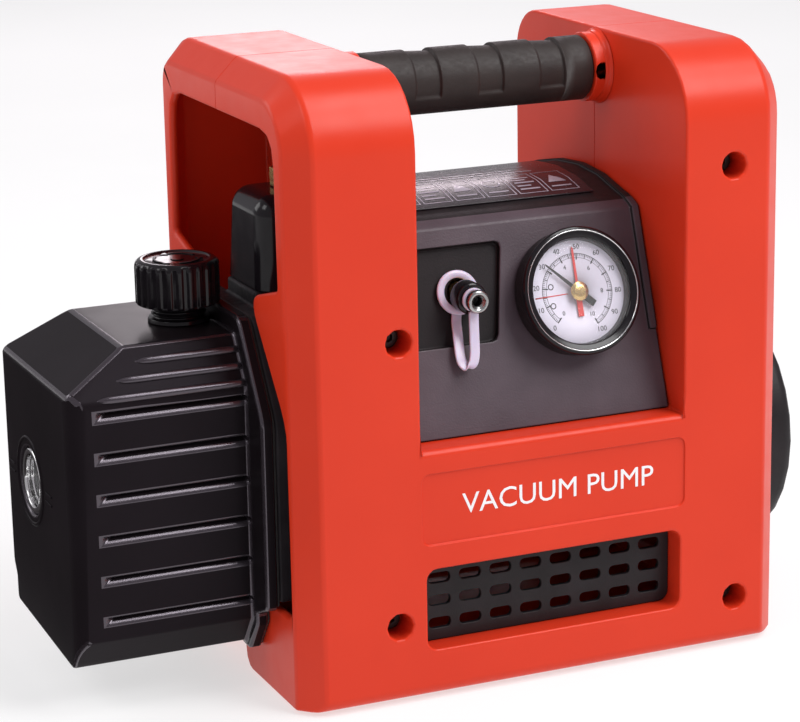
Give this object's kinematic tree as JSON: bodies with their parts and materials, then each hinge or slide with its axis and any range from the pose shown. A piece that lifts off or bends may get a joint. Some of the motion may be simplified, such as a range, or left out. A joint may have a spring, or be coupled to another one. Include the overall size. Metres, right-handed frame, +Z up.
{
  "type": "rotary vane vacuum pump",
  "caption": "Portable rotary vane vacuum pump in a two-tower moulded carrying frame, with oil tank, vacuum gauge, capped service port and handle.",
  "frame": {"origin": "bottom centre of the whole pump, on the surface under its feet", "axes": "+X along the shaft from the oil tank to the motor end cover, -Y towards the gauge side, +Z up"},
  "size_m": [0.352, 0.172, 0.28],
  "materials": {
    "red_plastic": "satin moulded red",
    "black_plastic": "fine textured near-black",
    "gloss_black": "smooth glossy black",
    "painted_casting": "gloss black paint on a casting",
    "cast_metal": "dark coated casting",
    "grip_rubber": "matt dark brown-black elastomer",
    "rubber": "matt black",
    "steel": "turned",
    "dark_steel": "blackened",
    "winding": "varnished copper on laminations",
    "brass": "turned",
    "chrome": "polished",
    "clear_plastic": "translucent",
    "glass": "clear",
    "white_enamel": "printed white face",
    "red_enamel": "red paint",
    "needle_black": "black paint",
    "label_film": "glossy printed film",
    "rocker_red": "translucent red",
    "carbon": "carbon composite"
  },
  "bodies": {
    "pump_body": {"bearing_front": "steel", "bearing_rear": "steel", "control_housing": "black_plastic", "drain_plug": "brass", "filler_neck": "black_plastic", "front_grille": "black_plastic", "front_shell": "red_plastic", "gauge_bezel": "gloss_black", "gauge_case": "black_plastic", "gauge_dial": "white_enamel", "gauge_lens": "glass", "handle_collar_left": "red_plastic", "handle_collar_right": "red_plastic", "handle_core": "steel", "handle_grip": "grip_rubber", "handle_screw_left": "dark_steel", "handle_screw_right": "dark_steel", "info_label": "label_film", "inlet_fitting": "brass", "inlet_manifold": "gloss_black", "manifold_pipe": "brass", "motor_end_cover": "black_plastic", "motor_housing": "cast_metal", "motor_stator": "winding", "oil_tank": "painted_casting", "port_fitting": "brass", "port_strap": "clear_plastic", "power_inlet": "black_plastic", "pump_bracket": "cast_metal", "pump_end_plate": "dark_steel", "pump_stator": "dark_steel", "rear_grille": "black_plastic", "rear_shell": "red_plastic", "rubber_foot_1": "rubber", "rubber_foot_2": "rubber", "rubber_foot_3": "rubber", "rubber_foot_4": "rubber", "shell_screw_1": "dark_steel", "shell_screw_2": "dark_steel", "shell_screw_3": "dark_steel", "shell_screw_4": "dark_steel", "sight_glass_lens": "glass", "sight_glass_ring": "chrome", "switch_bezel": "black_plastic", "tank_gasket": "rubber"},
    "shaft": {"rotor_shaft": "steel", "pump_rotor": "steel", "pump_vane_a": "carbon", "pump_vane_b": "carbon", "shaft_coupling": "steel", "motor_fan": "black_plastic"},
    "needle": {"gauge_needle": "needle_black", "gauge_hub": "brass"},
    "set_pointer": {"gauge_set_pointer": "red_enamel"},
    "rocker": {"switch_rocker": "rocker_red"},
    "port_ring": {"port_cap_ring": "clear_plastic"},
    "port_cap": {"port_cap": "gloss_black", "port_cap_end": "chrome"},
    "filler_seal": {"filler_seal": "rubber"},
    "filler_cap": {"filler_cap": "black_plastic"}
  },
  "joints": [
    {"name": "shaft_spin", "type": "hinge", "parent": "pump_body", "child": "shaft", "pos_m": [0.032, 0, 0.084], "axis": [1, 0, 0], "continuous": true},
    {"name": "needle_turn", "type": "hinge", "parent": "pump_body", "child": "needle", "pos_m": [0.058, -0.05498, 0.1695], "axis": [0, -0.9494, 0.314], "range_deg": [-180, 85], "stiffness_Nm_per_rad": 0.0002},
    {"name": "set_pointer_turn", "type": "hinge", "parent": "pump_body", "child": "set_pointer", "pos_m": [0.058, -0.05498, 0.1695], "axis": [0, -0.9494, 0.314], "range_deg": [-130, 130]},
    {"name": "rocker_tilt", "type": "hinge", "parent": "pump_body", "child": "rocker", "pos_m": [0.004, 0.06, 0.171], "axis": [1, 0, 0], "range_deg": [-8, 8]},
    {"name": "port_cap_lift", "type": "slide", "parent": "pump_body", "child": "port_ring", "axis": [0, -1, 0], "range_m": [0, 0.00635]},
    {"name": "port_cap_turn", "type": "hinge", "parent": "port_ring", "child": "port_cap", "pos_m": [0.0055, -0.05, 0.1745], "axis": [0, -1, 0], "range_deg": [0, 1800]},
    {"name": "filler_cap_lift", "type": "slide", "parent": "pump_body", "child": "filler_seal", "axis": [0, 0, 1], "range_m": [0, 0.009]},
    {"name": "filler_cap_turn", "type": "hinge", "parent": "filler_seal", "child": "filler_cap", "pos_m": [-0.109, 0.002, 0.164], "axis": [0, 0, 1], "range_deg": [0, 1080]}
  ],
  "couplings": [
    {"joint": "port_cap_lift", "follows": "port_cap_turn", "m_per_rad": 0.00020213},
    {"joint": "filler_cap_lift", "follows": "filler_cap_turn", "m_per_rad": 0.00047746}
  ]
}
